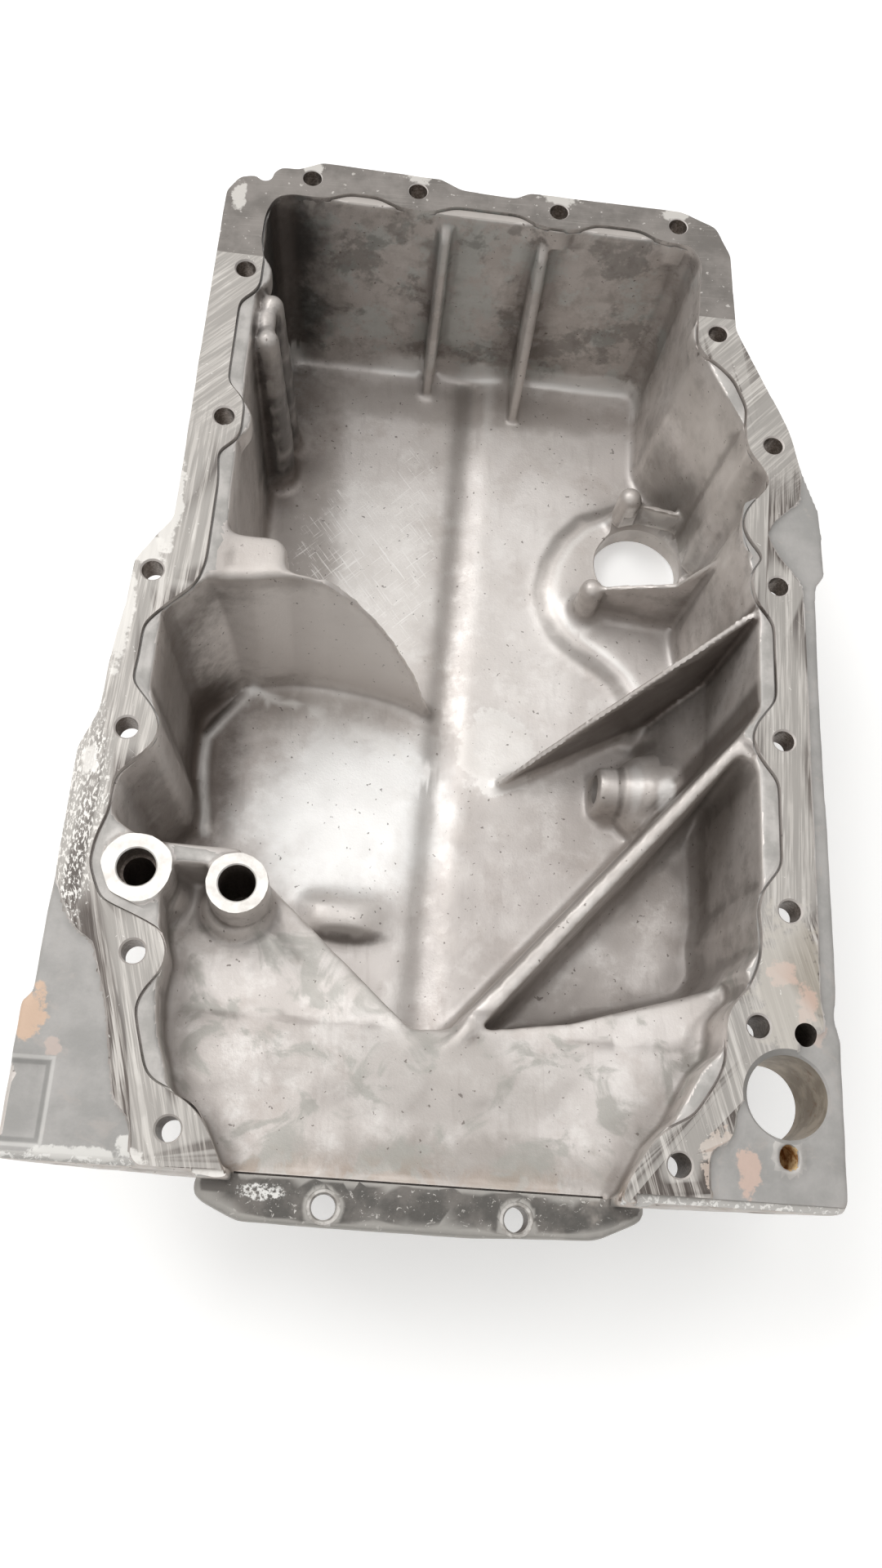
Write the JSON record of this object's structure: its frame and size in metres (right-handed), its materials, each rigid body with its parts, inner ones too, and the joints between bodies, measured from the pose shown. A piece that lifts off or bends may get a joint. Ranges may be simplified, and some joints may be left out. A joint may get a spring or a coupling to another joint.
{
  "type": "engine oil pan",
  "caption": "Cast oil pan with a milled gasket rim, deep sump, shallow ramp, baffle webs, oil bosses, a sensor port and a drain plug.",
  "frame": {"origin": "centre of the bounding box, at the underside of the sump floor", "axes": "+Z out of the open side, square to the gasket face; +Y from the bellhousing end to the far end; +X towards the drain plug side"},
  "size_m": [0.3124, 0.4823, 0.1165],
  "materials": {
    "casting": "as cast and oil stained, with milled faces",
    "plug": "zinc plated",
    "washer": "copper sealing ring"
  },
  "bodies": {
    "root": {"pan_casting": "casting", "drain_plug": "plug", "drain_washer": "washer"}
  },
  "joints": []
}
